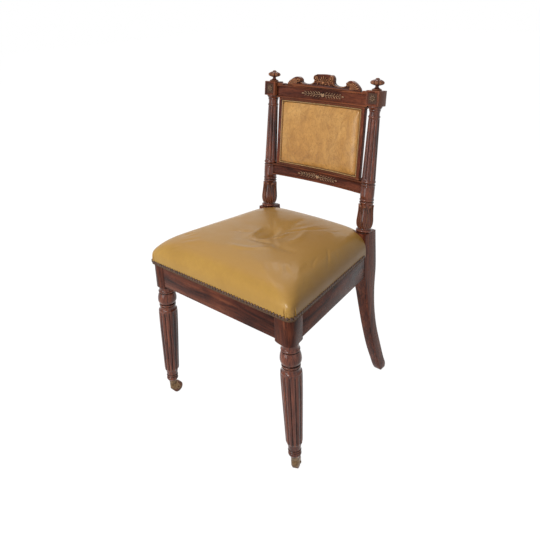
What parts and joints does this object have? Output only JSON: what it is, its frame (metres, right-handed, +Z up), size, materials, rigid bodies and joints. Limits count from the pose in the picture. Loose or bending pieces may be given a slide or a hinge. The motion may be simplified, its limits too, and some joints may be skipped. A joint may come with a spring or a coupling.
{
  "type": "dining chair",
  "caption": "Antique style side chair with stuffed leather seat, leather back panel between reeded columns, carved cresting, sabre rear legs and reeded front legs on brass castors.",
  "frame": {"origin": "on the floor, under the middle of the chair's bounding box", "axes": "+Z up, -Y towards the front of the seat, +X to the right of someone who faces the chair from the front"},
  "size_m": [0.4926, 0.4966, 0.8725],
  "materials": {
    "rosewood": "french polished",
    "beech": "unfinished",
    "seat_leather": "semi-gloss hide",
    "back_leather": "glossy hide",
    "horsehair": "stuffing",
    "hessian": "plain weave",
    "jute": "webbing",
    "brass": "aged"
  },
  "bodies": {
    "frame": {"seat_leather": "seat_leather", "front_leg_right": "rosewood", "front_leg_left": "rosewood", "rear_stile_right": "rosewood", "rear_stile_left": "rosewood", "back_panel_leather": "back_leather", "back_top_rail": "rosewood", "back_cresting": "rosewood", "back_low_rail": "rosewood", "seat_stuffing": "horsehair", "finial_right": "rosewood", "finial_left": "rosewood", "back_panel_stuffing": "horsehair", "castor_cup_left": "brass", "castor_cup_right": "brass", "castor_pin_left": "brass", "castor_pin_right": "brass", "back_inner_stile_right": "rosewood", "back_inner_stile_left": "rosewood", "back_panel_canvas": "hessian", "back_panel_rear_leather": "back_leather", "webbing_across_1": "jute", "webbing_across_2": "jute", "webbing_across_3": "jute", "webbing_along_1": "jute", "webbing_along_2": "jute", "webbing_along_3": "jute", "webbing_along_4": "jute", "front_rail": "rosewood", "rear_rail": "rosewood", "side_rail_right": "rosewood", "side_rail_left": "rosewood", "seat_base_cloth": "hessian", "front_brace_right": "beech", "front_brace_left": "beech", "rear_brace_right": "beech", "rear_brace_left": "beech"},
    "castor_fork_left": {"castor_horn_left": "brass", "castor_axle_left": "brass"},
    "castor_roller_left": {"castor_wheel_left": "brass"},
    "castor_fork_right": {"castor_horn_right": "brass", "castor_axle_right": "brass"},
    "castor_roller_right": {"castor_wheel_right": "brass"}
  },
  "joints": [
    {"name": "left_castor_swivel", "type": "hinge", "parent": "frame", "child": "castor_fork_left", "pos_m": [-0.22807, -0.22987, 0.02425], "axis": [0, 0, 1], "continuous": true},
    {"name": "left_castor_wheel", "type": "hinge", "parent": "castor_fork_left", "child": "castor_roller_left", "pos_m": [-0.22807, -0.21837, 0.016], "axis": [1, 0, 0], "continuous": true},
    {"name": "right_castor_swivel", "type": "hinge", "parent": "frame", "child": "castor_fork_right", "pos_m": [0.22807, -0.22987, 0.02425], "axis": [0, 0, 1], "continuous": true},
    {"name": "right_castor_wheel", "type": "hinge", "parent": "castor_fork_right", "child": "castor_roller_right", "pos_m": [0.22339, -0.21936, 0.016], "axis": [0.9135, 0.4067, 0], "continuous": true}
  ]
}
